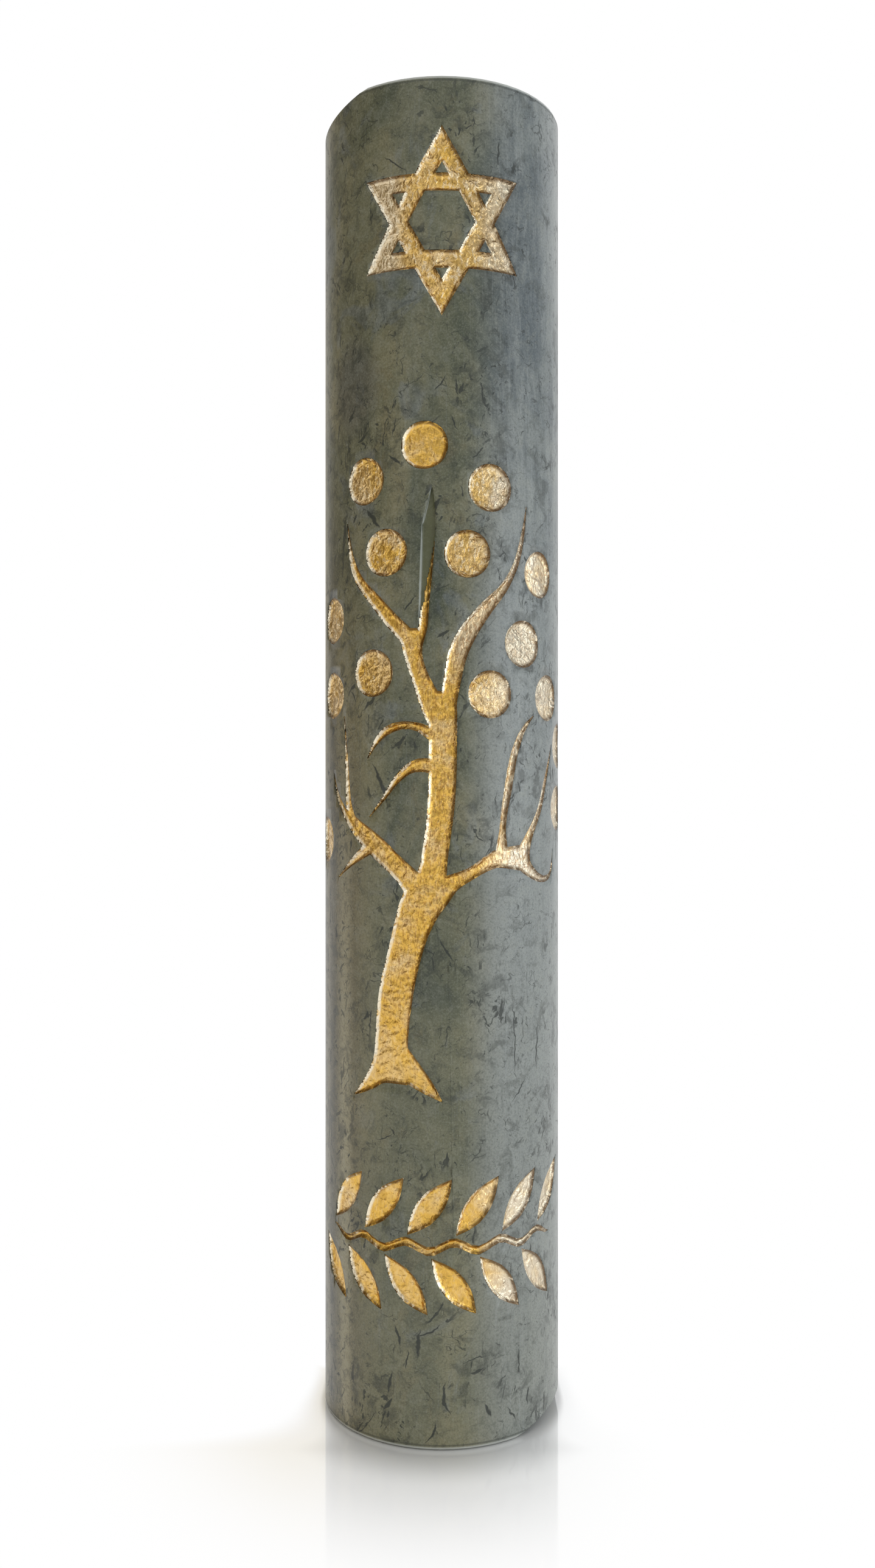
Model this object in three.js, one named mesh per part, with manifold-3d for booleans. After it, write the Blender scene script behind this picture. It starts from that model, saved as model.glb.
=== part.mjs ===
// A half-round stone mezuzah case, carved and gilded on its front, with the parchment scroll that
// it holds in a channel in its back, the cover of the channel and the adhesive pads for a door post.
// Millimetres, +Z up, front towards -Y, standing on its lower end.

import * as THREE from 'three';
import { mergeVertices } from 'three/addons/utils/BufferGeometryUtils.js';
import Module from 'manifold-3d';

const wasm = await Module();
wasm.setup();

// The stone bar: its walls round the channel, and its eased edges
const endWall = 19;
const sideWall = 7.25;
const frontWall = 6.7;
const endEase = 0.5;
const backEdgeEase = 0.5;

// Two corners of the bar, one at each end, are ground away by hand
const groundWidth = 6;
const groundHeight = 2;

// The carving and its gilding
const recessDepth = 0.5;
const leafThickness = 0.2;
const leafClearance = 0.07;
const discDiameter = 5.4;
const emblemRadius = 10.4;
const emblemStroke = 2;
const trunkWidth = 4;
const oliveLeafLength = 8;
const oliveLeafWidth = 2.9;
const oliveLeafPitch = 5.4;
const oliveLeafLeanDegrees = 39;
const oliveStemWidth = 1;
const oliveStemSwing = 0.5;
const oliveStemGap = 0.7;

// The channel, its cover and the finger scoops that bare the cover's edges
const channelCorner = 2;
const channelSeat = 0.3;
const channelSideRoom = 0.93;
const channelBackRoom = 0.26;
const channelHeadRoom = 11.2;
const scrollFootGap = 0.8;
const coverThickness = 1.5;
const coverLedge = 2;
const coverCorner = 3;
const coverClearance = 0.25;
const scoopRadius = 3.6;
const scoopReach = 2.8;
const scoopDepth = 2.8;

// The scroll and the strip round it
const scrollLength = 100;
const scrollRadius = 5.2;
const scrollCoreRadius = 1.7;
const parchmentThickness = 0.35;
const scrollTurnPitch = 0.8;
const wrapWidth = 14;
const wrapThickness = 0.25;
const wrapClearance = 0.12;

// The foam pads and their release liners
const padThickness = 1;
const padCorner = 1;
const padEndMargin = 2.5;
const padSideMargin = 2.75;
const padCoverMargin = 1.75;
const linerThickness = 0.15;
const linerTab = 2.2;

// Small gap between pieces that lie on each other, and how far a cutter runs past a face
const seatGap = 0.1;
const overrun = 1;

// How finely round shapes are stepped
const flats = 28;
const discSides = 16;
const limbStepsPerPoint = 1.6;
const leafSteps = 6;
const stemSteps = 36;
const turnSteps = 16;
const cornerSteps = 4;
const scoopSteps = 14;
const wrapSteps = 24;
const edgeSnapShare = 0.0001;

// How full an olive leaf is and how blunt the stem's ends are: powers of their curves
const leafFullness = 0.9;
const stemBluntness = 4;

// The channel round the wrapped scroll, and the stone round the channel
const coverDepth = coverThickness + seatGap;
const wrapInnerRadius = scrollRadius + wrapClearance;
const wrapOuterRadius = wrapInnerRadius + wrapThickness;
const channelWidth = 2 * (wrapOuterRadius + channelSideRoom);
const channelLength = scrollLength + scrollFootGap + channelHeadRoom;
const channelDepth = channelSeat + 2 * wrapOuterRadius + channelBackRoom + coverDepth;
const caseHeight = channelLength + 2 * endWall;
const frontRadius = channelWidth / 2 + sideWall;
const sideDepth = channelDepth + frontWall - frontRadius;
const padWidth = 2 * (frontRadius - padSideMargin);
const padHeight = endWall - coverLedge - coverClearance - padCoverMargin - padEndMargin;

// Places that follow from the sizes above
const halfGirth = Math.PI * frontRadius / 2;
const flatGirth = 2 * halfGirth / flats;
const totalDepth = frontRadius + sideDepth + padThickness + linerThickness + 2 * seatGap;
const frontY = -totalDepth / 2;
const axisY = frontY + frontRadius;
const backY = axisY + sideDepth;
const floorRadius = frontRadius - recessDepth;
const midHeight = caseHeight / 2;
const rebateHalfWidth = channelWidth / 2 + coverLedge + coverClearance;
const rebateLength = channelLength + 2 * (coverLedge + coverClearance);
const cutterDepth = recessDepth + overrun;

// Places of the carving: girth as a share of half the front's girth, height as a share of the case's
const emblemHeightShare = 0.894;
const bandHeightShare = 0.148;
const discShares = [
  [-0.089, 0.731], [-0.429, 0.708], [0.257, 0.701], [-0.299, 0.654], [0.133, 0.652],
  [0.589, 0.641], [0.459, 0.588], [-0.377, 0.566], [0.257, 0.55], [0.675, 0.549],
  [-0.715, 0.608], [-0.715, 0.551], [-0.835, 0.441], [0.87, 0.513], [0.845, 0.465],
];

// The limbs of the tree: each point is girth and height as above, and width as a share of the trunk's
const limbShares = [
  // trunk
  [[-0.275, 0.2655, 1.1], [-0.272, 0.277, 1.05], [-0.264, 0.302, 1], [-0.251, 0.3225, 1.03],
    [-0.23, 0.34, 1.02], [-0.2, 0.357, 0.98], [-0.159, 0.378, 1.02], [-0.118, 0.394, 1.15],
    [-0.07, 0.409, 1.05], [-0.045, 0.421, 0.76], [-0.031, 0.437, 0.72], [-0.009, 0.459, 0.73],
    [0.003, 0.4845, 0.77], [0.006, 0.518, 0.78], [0.004, 0.53, 0.8], [-0.002, 0.541, 0.86],
    [-0.001, 0.552, 0.3]],
  // roots
  [[-0.27, 0.287, 0.85], [-0.335, 0.2735, 0.65], [-0.4, 0.2635, 0.4], [-0.505, 0.253, 0.04]],
  [[-0.25, 0.288, 0.85], [-0.15, 0.2735, 0.65], [-0.07, 0.2635, 0.4], [0, 0.254, 0.04]],
  // upper left branch and its fork
  [[0, 0.526, 0.6], [-0.043, 0.54, 0.66], [-0.099, 0.558, 0.5], [-0.136, 0.572, 0.47],
    [-0.157, 0.587, 0.56], [-0.16, 0.598, 0.35]],
  [[-0.15, 0.586, 0.5], [-0.19, 0.594, 0.45], [-0.264, 0.604, 0.42], [-0.358, 0.619, 0.37],
    [-0.451, 0.632, 0.31], [-0.505, 0.644, 0.27], [-0.535, 0.657, 0.17], [-0.561, 0.679, 0.04]],
  // upper right branch
  [[0.006, 0.528, 0.5], [0.037, 0.547, 0.46], [0.058, 0.564, 0.5], [0.08, 0.579, 0.54],
    [0.124, 0.5925, 0.53], [0.191, 0.606, 0.45], [0.257, 0.617, 0.37], [0.32, 0.626, 0.28],
    [0.397, 0.6425, 0.21], [0.446, 0.662, 0.17], [0.482, 0.69, 0.04]],
  // lower left branch and its three twigs
  [[-0.065, 0.392, 0.8], [-0.111, 0.405, 0.74], [-0.201, 0.42, 0.58], [-0.268, 0.428, 0.57],
    [-0.332, 0.436, 0.62], [-0.409, 0.444, 0.6], [-0.486, 0.452, 0.48], [-0.54, 0.459, 0.36],
    [-0.56, 0.466, 0.2]],
  [[-0.355, 0.441, 0.45], [-0.433, 0.434, 0.33], [-0.515, 0.4265, 0.21], [-0.646, 0.4135, 0.04]],
  [[-0.515, 0.456, 0.4], [-0.567, 0.46, 0.3], [-0.626, 0.469, 0.19], [-0.675, 0.48, 0.13],
    [-0.705, 0.492, 0.04]],
  [[-0.5, 0.452, 0.42], [-0.54, 0.462, 0.32], [-0.556, 0.4735, 0.23], [-0.561, 0.488, 0.19],
    [-0.572, 0.507, 0.14], [-0.589, 0.535, 0.04]],
  // the two horns on the left of the trunk
  [[0, 0.515, 0.4], [-0.061, 0.5215, 0.33], [-0.121, 0.526, 0.24], [-0.194, 0.5275, 0.22],
    [-0.268, 0.525, 0.25], [-0.324, 0.52, 0.22], [-0.369, 0.5125, 0.14], [-0.409, 0.503, 0.04]],
  [[0, 0.494, 0.44], [-0.068, 0.498, 0.4], [-0.127, 0.498, 0.35], [-0.181, 0.4945, 0.28],
    [-0.24, 0.487, 0.21], [-0.306, 0.474, 0.13], [-0.397, 0.46, 0.03]],
  // lower right branch, its two twigs and the curl at its end
  [[-0.08, 0.3965, 0.9], [-0.018, 0.405, 0.8], [0.058, 0.413, 0.47], [0.14, 0.4185, 0.35],
    [0.207, 0.424, 0.37], [0.285, 0.4295, 0.5], [0.358, 0.43, 0.6], [0.451, 0.4295, 0.7],
    [0.475, 0.4285, 0.4]],
  [[0.324, 0.429, 0.52], [0.321, 0.4355, 0.42], [0.324, 0.4505, 0.2], [0.335, 0.464, 0.23],
    [0.365, 0.485, 0.28], [0.397, 0.507, 0.26], [0.464, 0.5255, 0.17], [0.54, 0.535, 0.04]],
  [[0.452, 0.429, 0.6], [0.47, 0.436, 0.44], [0.52, 0.449, 0.26], [0.589, 0.463, 0.22],
    [0.66, 0.489, 0.18], [0.735, 0.514, 0.04]],
  [[0.44, 0.4305, 0.65], [0.475, 0.4235, 0.47], [0.54, 0.4165, 0.3], [0.633, 0.412, 0.2],
    [0.715, 0.415, 0.17], [0.745, 0.4245, 0.1], [0.748, 0.434, 0.03]],
];

// The middle twig, whose tip is carved but not gilded: the leaf stops at its fourth point
const middleTwigShares = [
  [-0.149, 0.583, 0.42], [-0.1, 0.595, 0.27], [-0.09, 0.612, 0.26], [-0.08, 0.63, 0.29],
  [-0.071, 0.655, 0.36], [-0.068, 0.67, 0.36], [-0.058, 0.685, 0.26], [-0.049, 0.7, 0.03],
];
const giltTwigPoints = 4;

const caseGroup = new THREE.Group();

// Materials: colours of the photographed surfaces, and of the usual papers and foam behind them
function finish(color, roughness, metalness) {
  return new THREE.MeshStandardMaterial({ color, roughness, metalness });
}

function place(name, geometry, material) {
  const mesh = new THREE.Mesh(geometry, material);
  mesh.name = name;
  caseGroup.add(mesh);
}

// Joins and cuts
function toSolid(geometry) {
  const bare = geometry.index ? geometry.toNonIndexed() : geometry.clone();
  bare.deleteAttribute('normal');
  bare.deleteAttribute('uv');
  const merged = mergeVertices(bare);
  return new wasm.Manifold(new wasm.Mesh({
    numProp: 3,
    vertProperties: new Float32Array(merged.attributes.position.array),
    triVerts: new Uint32Array(merged.index.array),
  }));
}

function toGeometry(solid) {
  const mesh = solid.getMesh();
  const geometry = new THREE.BufferGeometry();
  geometry.setAttribute('position', new THREE.BufferAttribute(mesh.vertProperties, 3));
  geometry.setIndex(new THREE.BufferAttribute(mesh.triVerts, 1));
  return geometry;
}

// Direction from the axis of the round front to its edge line number line
function edgeDirection(line) {
  const angle = (line / flats - 0.5) * Math.PI;
  return new THREE.Vector2(Math.sin(angle), -Math.cos(angle));
}

function edgeGirth(line) {
  return line * flatGirth - halfGirth;
}

function flatPrism(shape, depth) {
  return toSolid(new THREE.ExtrudeGeometry(shape, { depth, steps: 1, bevelEnabled: false }));
}

// Flat carvings are drawn with girth along X, height along Y and depth along Z, and cut in upright
// slices, one for each flat of the front
const slices = Array.from({ length: flats }, (_, flat) => {
  const corners = [[flat, 0], [flat + 1, 0], [flat + 1, caseHeight], [flat, caseHeight]];
  const outline = corners.map(([line, height]) => new THREE.Vector2(edgeGirth(line), height));
  return flatPrism(new THREE.Shape(outline), cutterDepth);
});

// Lays one slice on its flat, at the given radius
function layOnFlat(slice, flat, lowRadius) {
  const geometry = toGeometry(slice);
  const spots = geometry.attributes.position;
  for (let spot = 0; spot < spots.count; spot += 1) {
    const across = (spots.getX(spot) - edgeGirth(flat)) / flatGirth;
    const near = Math.round(across);
    const share = Math.abs(across - near) < edgeSnapShare ? near : across;
    const direction = edgeDirection(flat).lerp(edgeDirection(flat + 1), share);
    const radius = lowRadius + spots.getZ(spot);
    spots.setXYZ(spot, radius * direction.x, axisY + radius * direction.y, spots.getY(spot));
  }
  return toSolid(geometry);
}

function wrapRound(flatSolid, lowRadius) {
  return slices
    .map((slice, flat) => [flatSolid.intersect(slice), flat])
    .filter(([slice]) => slice.numTri() > 0)
    .map(([slice, flat]) => layOnFlat(slice, flat, lowRadius))
    .reduce((all, next) => all.add(next));
}

const carvings = [];

function joinedPrisms(shapes, depth) {
  return shapes.map((shape) => flatPrism(shape, depth)).reduce((all, next) => all.add(next));
}

// One carved recess and the leaf that lines its floor. Each draw gives flat shapes for an inset.
function carve(name, draw, drawLeaf = draw) {
  carvings.push(wrapRound(joinedPrisms(draw(0), cutterDepth), floorRadius));
  const leaf = joinedPrisms(drawLeaf(leafClearance), leafThickness);
  place(name, toGeometry(wrapRound(leaf, floorRadius + leafClearance)), gold);
}

// A tapering limb along a smooth line through its points
function limbShape(points, inset) {
  const line = new THREE.CatmullRomCurve3(points.map(([girthShare, heightShare, widthShare]) => (
    new THREE.Vector3(girthShare * halfGirth, heightShare * caseHeight, widthShare * trunkWidth)
  )), false, 'centripetal');
  const steps = Math.round((points.length - 1) * limbStepsPerPoint);
  const spots = line.getPoints(steps);
  const left = [];
  const right = [];
  spots.forEach((spot, index) => {
    const before = spots[Math.max(index - 1, 0)];
    const after = spots[Math.min(index + 1, steps)];
    const across = new THREE.Vector2(before.y - after.y, after.x - before.x).normalize();
    const half = Math.max(spot.z / 2 - inset, leafClearance / 2);
    left.push(new THREE.Vector2(spot.x, spot.y).addScaledVector(across, half));
    right.unshift(new THREE.Vector2(spot.x, spot.y).addScaledVector(across, -half));
  });
  return new THREE.Shape([...left, ...right]);
}

function discShape(x, y, radius) {
  const turns = Array.from({ length: discSides }, (_, side) => 2 * Math.PI * side / discSides);
  return new THREE.Shape(turns.map((turn) => (
    new THREE.Vector2(x + radius * Math.cos(turn), y + radius * Math.sin(turn))
  )));
}

// One of the star's two triangles, as a band of the stroke's width
function triangleShape(up, inset) {
  const corners = (radius) => [0, 1, 2].map((corner) => {
    const turn = up * Math.PI / 2 + corner * 2 * Math.PI / 3;
    return new THREE.Vector2(radius * Math.cos(turn), emblemHeight + radius * Math.sin(turn));
  });
  const shape = new THREE.Shape(corners(emblemRadius - 2 * inset));
  shape.holes.push(new THREE.Path(corners(emblemRadius - 2 * emblemStroke + 2 * inset)));
  return shape;
}

// A pointed oval leaf between two arcs, leaning by an angle
function leafShape(x, y, lean, inset) {
  const length = oliveLeafLength - 4 * inset;
  const width = oliveLeafWidth - 2 * inset;
  const side = (sign) => Array.from({ length: leafSteps }, (_, step) => {
    const along = step / leafSteps;
    const bulge = Math.sin(Math.PI * along) ** leafFullness;
    return new THREE.Vector2(sign * bulge * width / 2, sign * (along - 0.5) * length);
  });
  return new THREE.Shape([...side(1), ...side(-1)].map((point) => (
    point.rotateAround(new THREE.Vector2(), lean).add(new THREE.Vector2(x, y))
  )));
}

const emblemHeight = emblemHeightShare * caseHeight;
const bandHeight = bandHeightShare * caseHeight;
const stone = finish(0x6f756f, 0.45, 0);
const gold = finish(0xc79a45, 0.35, 1);
const coverPlastic = finish(0x3b3d3c, 0.6, 0);
const parchment = finish(0xe6d6b4, 0.7, 0);
const wrapPaper = finish(0xf0ece2, 0.8, 0);
const foam = finish(0xe9e9e6, 0.9, 0);
const linerPaper = finish(0xd8c9a4, 0.5, 0);

// The emblem near the top: a six-pointed star of two triangles
carve('gilt_star', (inset) => [triangleShape(1, inset), triangleShape(-1, inset)]);

// The tree
function treeShapes(twigShares, inset) {
  return [...limbShares, twigShares].map((points) => limbShape(points, inset));
}

carve('gilt_tree', (inset) => treeShapes(middleTwigShares, inset), (inset) => (
  treeShapes(middleTwigShares.slice(0, giltTwigPoints), inset)
));

// The fruits
discShares.forEach(([girthShare, heightShare], index) => {
  const name = `gilt_fruit_${String(index + 1).padStart(2, '0')}`;
  const [x, y] = [girthShare * halfGirth, heightShare * caseHeight];
  carve(name, (inset) => [discShape(x, y, discDiameter / 2 - inset)]);
});

// The olive branch round the foot: a waving stem, with leaves above and below it in turn
const leavesPerSide = Math.floor((2 * halfGirth - oliveLeafLength) / oliveLeafPitch);
const leafStagger = oliveLeafPitch / 2;
const stemHalfLength = (leavesPerSide * oliveLeafPitch - leafStagger) / 2;
const leafLean = THREE.MathUtils.degToRad(oliveLeafLeanDegrees);
const leafOffset = oliveLeafLength * Math.cos(leafLean) / 2 + oliveStemWidth / 2 + oliveStemGap;

function stemHeight(s) {
  return bandHeight + oliveStemSwing * Math.sin(2 * Math.PI * s / oliveLeafPitch);
}

carve('gilt_stem', (inset) => {
  const edge = (side) => Array.from({ length: stemSteps + 1 }, (_, step) => {
    const reach = side * (1 - 2 * step / stemSteps);
    const half = (oliveStemWidth / 2) * Math.sqrt(1 - reach ** stemBluntness) - inset;
    const s = reach * (stemHalfLength - inset);
    return new THREE.Vector2(s, stemHeight(s) + side * Math.max(half, leafClearance / 2));
  });
  return [new THREE.Shape([...edge(1), ...edge(-1)])];
});

for (let pair = 0; pair < leavesPerSide; pair += 1) {
  const middle = (pair - (leavesPerSide - 1) / 2) * oliveLeafPitch;
  const number = String(pair + 1).padStart(2, '0');
  for (const [side, word] of [[1, 'upper'], [-1, 'lower']]) {
    const x = middle + side * leafStagger / 2;
    carve(`gilt_leaf_${word}_${number}`, (inset) => (
      [leafShape(x, bandHeight + side * leafOffset, -side * leafLean, inset)]
    ));
  }
}

// A block with rounded corners, cut or built from the back plane towards the front
function roundedBlock(halfX, lowZ, highZ, corner, nearY, depth) {
  const shape = new THREE.Shape();
  const corners = [
    [halfX - corner, highZ - corner, 0], [-halfX + corner, highZ - corner, 1],
    [-halfX + corner, lowZ + corner, 2], [halfX - corner, lowZ + corner, 3],
  ];
  const points = corners.flatMap(([x, z, quarter]) => (
    Array.from({ length: cornerSteps + 1 }, (_, step) => {
      const turn = (quarter + step / cornerSteps) * Math.PI / 2;
      return new THREE.Vector2(x + corner * Math.cos(turn), z + corner * Math.sin(turn));
    })
  ));
  shape.setFromPoints(points);
  const geometry = new THREE.ExtrudeGeometry(shape, { depth, steps: 1, bevelEnabled: false });
  geometry.rotateX(Math.PI / 2);
  geometry.translate(0, nearY, 0);
  return geometry;
}

// The stone bar before it is carved, with eased ends
function barSolid() {
  const outline = new THREE.Shape();
  const front = Array.from({ length: flats + 1 }, (_, line) => (
    new THREE.Vector2(0, axisY).addScaledVector(edgeDirection(line), frontRadius)
  ));
  const back = [
    new THREE.Vector2(frontRadius, backY - backEdgeEase),
    new THREE.Vector2(frontRadius - backEdgeEase, backY),
    new THREE.Vector2(backEdgeEase - frontRadius, backY),
    new THREE.Vector2(-frontRadius, backY - backEdgeEase),
  ];
  outline.setFromPoints([...front, ...back]);
  const geometry = new THREE.ExtrudeGeometry(outline, {
    depth: caseHeight - 2 * endEase,
    steps: 1,
    bevelEnabled: true,
    bevelThickness: endEase,
    bevelSize: endEase,
    bevelOffset: -endEase,
    bevelSegments: 2,
  });
  geometry.translate(0, 0, endEase);
  return toSolid(geometry);
}

// A wedge that grinds away one corner: side is -1 for the left and 1 for the right, and end is -1
// for the lower end and 1 for the upper
function cornerGrinder(side, end) {
  const shape = new THREE.Shape([
    new THREE.Vector2(frontRadius - groundWidth, 0),
    new THREE.Vector2(frontRadius, groundHeight),
    new THREE.Vector2(frontRadius + overrun, groundHeight),
    new THREE.Vector2(frontRadius + overrun, -overrun),
    new THREE.Vector2(frontRadius - groundWidth, -overrun),
  ].map((point) => new THREE.Vector2(side * point.x, -end * (point.y - midHeight) + midHeight)));
  const depth = frontRadius + sideDepth + 2 * overrun;
  const geometry = new THREE.ExtrudeGeometry(shape, { depth, steps: 1, bevelEnabled: false });
  return toSolid(geometry.rotateX(Math.PI / 2).translate(0, backY + overrun, 0));
}

// Two scoops beside the cover, where a finger and thumb take its edges
function scoopCutter(side) {
  const centreX = side * (rebateHalfWidth + scoopReach - scoopRadius);
  const disc = new THREE.CylinderGeometry(scoopRadius, scoopRadius, scoopDepth + overrun, scoopSteps);
  disc.translate(centreX, backY + (overrun - scoopDepth) / 2, midHeight);
  return toSolid(disc);
}

function buildStone() {
  const half = channelLength / 2;
  const rebateHalf = rebateLength / 2;
  const rebateCorner = coverCorner + coverClearance;
  const cutY = backY + overrun;
  const cutters = [
    toSolid(roundedBlock(channelWidth / 2, midHeight - half, midHeight + half, channelCorner, cutY,
      channelDepth + overrun)),
    toSolid(roundedBlock(rebateHalfWidth, midHeight - rebateHalf, midHeight + rebateHalf, rebateCorner,
      cutY, coverDepth + overrun)),
    scoopCutter(1),
    scoopCutter(-1),
    cornerGrinder(-1, 1),
    cornerGrinder(1, -1),
    ...carvings,
  ];
  return cutters.reduce((body, cutter) => body.subtract(cutter), barSolid());
}

place('stone_case', toGeometry(buildStone()), stone);

// The cover, flush with the stone's back
const coverHalf = channelLength / 2 + coverLedge;
place('back_cover', roundedBlock(channelWidth / 2 + coverLedge, midHeight - coverHalf,
  midHeight + coverHalf, coverCorner, backY, coverThickness), coverPlastic);

// The rolled parchment: one sheet wound from its core outwards, standing near the channel's foot
const scrollAxisY = backY - channelDepth + channelSeat + wrapOuterRadius;
const scrollLowZ = midHeight - channelLength / 2 + scrollFootGap;

function rolledSheet() {
  const turns = (scrollRadius - parchmentThickness - scrollCoreRadius) / scrollTurnPitch;
  const steps = Math.round(turns * turnSteps);
  const face = (thickness) => Array.from({ length: steps + 1 }, (_, step) => {
    const turn = 2 * Math.PI * turns * step / steps;
    const radius = scrollCoreRadius + thickness + scrollTurnPitch * turns * step / steps;
    return new THREE.Vector2(radius * Math.cos(turn), radius * Math.sin(turn));
  });
  const outline = new THREE.Shape([...face(parchmentThickness), ...face(0).reverse()]);
  const sheet = new THREE.ExtrudeGeometry(outline, { depth: scrollLength, steps: 1, bevelEnabled: false });
  return sheet.translate(0, scrollAxisY, scrollLowZ);
}

place('scroll', rolledSheet(), parchment);

// The paper strip that keeps the roll closed
function wrapRing() {
  const half = wrapWidth / 2;
  const profile = [[wrapInnerRadius, -half], [wrapOuterRadius, -half], [wrapOuterRadius, half],
    [wrapInnerRadius, half], [wrapInnerRadius, -half]];
  const points = profile.map(([radius, height]) => new THREE.Vector2(radius, height));
  const ring = new THREE.LatheGeometry(points, wrapSteps);
  return ring.rotateX(Math.PI / 2).translate(0, scrollAxisY, scrollLowZ + scrollLength / 2);
}

place('scroll_wrap', wrapRing(), wrapPaper);

// The adhesive pads and their liners, above and below the cover
const padY = backY + seatGap + padThickness;
const linerY = padY + seatGap + linerThickness;

function linerGeometry(lowZ) {
  const centreX = linerTab / 2;
  const halfX = padWidth / 2 + centreX;
  return roundedBlock(halfX, lowZ, lowZ + padHeight, padCorner, linerY, linerThickness)
    .translate(centreX, 0, 0);
}

const padPlaces = [['lower', padEndMargin], ['upper', caseHeight - padEndMargin - padHeight]];
for (const [word, lowZ] of padPlaces) {
  place(`pad_${word}`, roundedBlock(padWidth / 2, lowZ, lowZ + padHeight, padCorner, padY,
    padThickness), foam);
  place(`liner_${word}`, linerGeometry(lowZ), linerPaper);
}

export default caseGroup;
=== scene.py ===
"""A carved and gilded half-round stone mezuzah case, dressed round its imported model."""

import math

import bmesh
import bpy
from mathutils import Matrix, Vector, kdtree, noise


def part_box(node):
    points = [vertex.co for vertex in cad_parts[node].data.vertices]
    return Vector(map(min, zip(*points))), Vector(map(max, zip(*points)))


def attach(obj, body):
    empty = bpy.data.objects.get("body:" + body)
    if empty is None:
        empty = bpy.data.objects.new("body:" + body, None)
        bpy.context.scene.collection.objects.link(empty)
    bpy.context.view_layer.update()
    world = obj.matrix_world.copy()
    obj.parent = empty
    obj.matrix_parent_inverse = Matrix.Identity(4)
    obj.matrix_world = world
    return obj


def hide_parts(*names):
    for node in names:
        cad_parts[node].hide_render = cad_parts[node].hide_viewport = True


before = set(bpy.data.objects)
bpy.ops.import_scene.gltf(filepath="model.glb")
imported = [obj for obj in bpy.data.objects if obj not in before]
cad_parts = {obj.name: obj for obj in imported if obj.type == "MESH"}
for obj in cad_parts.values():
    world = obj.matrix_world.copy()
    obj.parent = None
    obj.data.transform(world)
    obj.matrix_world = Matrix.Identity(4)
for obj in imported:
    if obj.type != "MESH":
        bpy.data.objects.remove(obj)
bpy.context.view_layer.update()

MM = 0.001
MERGE = 0.002 * MM

# The stone's sizes, read from the model
STONE_LOW, STONE_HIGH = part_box("stone_case")
FRONT_RADIUS = STONE_HIGH.x
AXIS_Y = STONE_LOW.y + FRONT_RADIUS
BACK_Y = STONE_HIGH.y
HEIGHT = STONE_HIGH.z
FLATS = 28
FLAT_TURN = math.pi / FLATS
END_EASE = 0.5 * MM
RECESS_DEPTH = 0.5 * MM
FLOOR_RADIUS = FRONT_RADIUS - RECESS_DEPTH
HALF_TURN = math.pi / 2

# How the model's faces are told apart
FLAT_ANGLE = math.radians(0.2)
CARVED_END_ROOM = 3 * MM
CARVED_BACK_Y = AXIS_Y + MM
CARVED_RADIUS = FLOOR_RADIUS - 0.1 * MM
LEVEL_NEAR = 0.05 * MM
ROUND_NEAR = 0.03 * MM
UPRIGHT_TILT = 0.5
GROUND_TILT = (0.85, 0.97)

# The turn in degrees past which an edge stays sharp
SHARP_CUT = 50
SHARP_PLAIN = 40

# How finely the round front and its leaf are cut
CUTS_PER_FLAT = 4
STONE_ROW = 1.5 * MM
LEAF_CELL = 0.13 * MM

# The leaf: a crumpled sheet, dished from the rim of each recess to its floor
LEAF_RIM_DROP = 0.04 * MM
LEAF_DISH = 0.4 * MM
LEAF_SLOPE = 0.45 * MM
LEAF_CRUMPLE = 0.17 * MM
LEAF_THICKNESS = 0.025 * MM

# The crumpled leaf's nets of creases, each with its scale and its share, and its broad swell
CREASES = ((0.8, 0.42), (1.9, 0.26))
CREASE_WIDTH = 1.6
CREASE_BEND, CREASE_BEND_SCALE = 0.5, 0.9
CREASE_SEED = 1
SWELL_SCALE, SWELL_SHARE = 0.5, 0.32

# The nodes whose leaf was pressed smoother than the rest
SMOOTH_LEAF = ("gilt_tree", "gilt_stem", "gilt_leaf", "gilt_fruit_01", "gilt_fruit_06")

# The carved outlines are stepped in the model: here they are cut finer and rounded, apart from
# their sharp corners
OUTLINE_STEP = 0.3 * MM
OUTLINE_CORNER = math.radians(40)
OUTLINE_ROUNDS = 10

# The middle twig's gilding runs out on a slant: its height at the twig's middle, its rise, and
# the height under which all of the cut is gilded
TWIG_X = -1.7 * MM
TWIG_REACH = 1.3 * MM
GILT_TWIG_TOP = 94.2 * MM
GILT_TWIG_SLANT = 5.5
GILT_TWIG_RAGGED = 0.6 * MM
BARE_TWIG_LOW = 89.8 * MM

# The pieces at the back
COVER_EASE = 0.3 * MM
COVER_RIM_ANGLE = 1.0
FOAM_CELL = 0.4 * MM
FOAM_PIT = 0.06 * MM
FOAM_PIT_SCALE = 1.4
FOAM_PIT_LEAST = 0.3
FOAM_FLAT_SHARE = 0.7
LINER_CELL = 0.6 * MM
LINER_WAVE = 0.05 * MM
LINER_WAVE_SCALE = 0.22
TAB_DROOP = 0.5 * MM
SCROLL_CHORD = math.radians(22.5)
WRAP_CHORD = math.radians(15)
CUTS_PER_CHORD = 4
SCROLL_ROW = 4 * MM
WRAP_ROW = MM
SHEET_WAVE_SHARE = 0.02
SHEET_WAVE_SCALE = 0.15
DECKLE = 0.3 * MM
DECKLE_SCALE = 0.35
WRAP_DECKLE = DECKLE / 4
WRAP_DECKLE_SCALE = 0.5


# Shader maths


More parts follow.
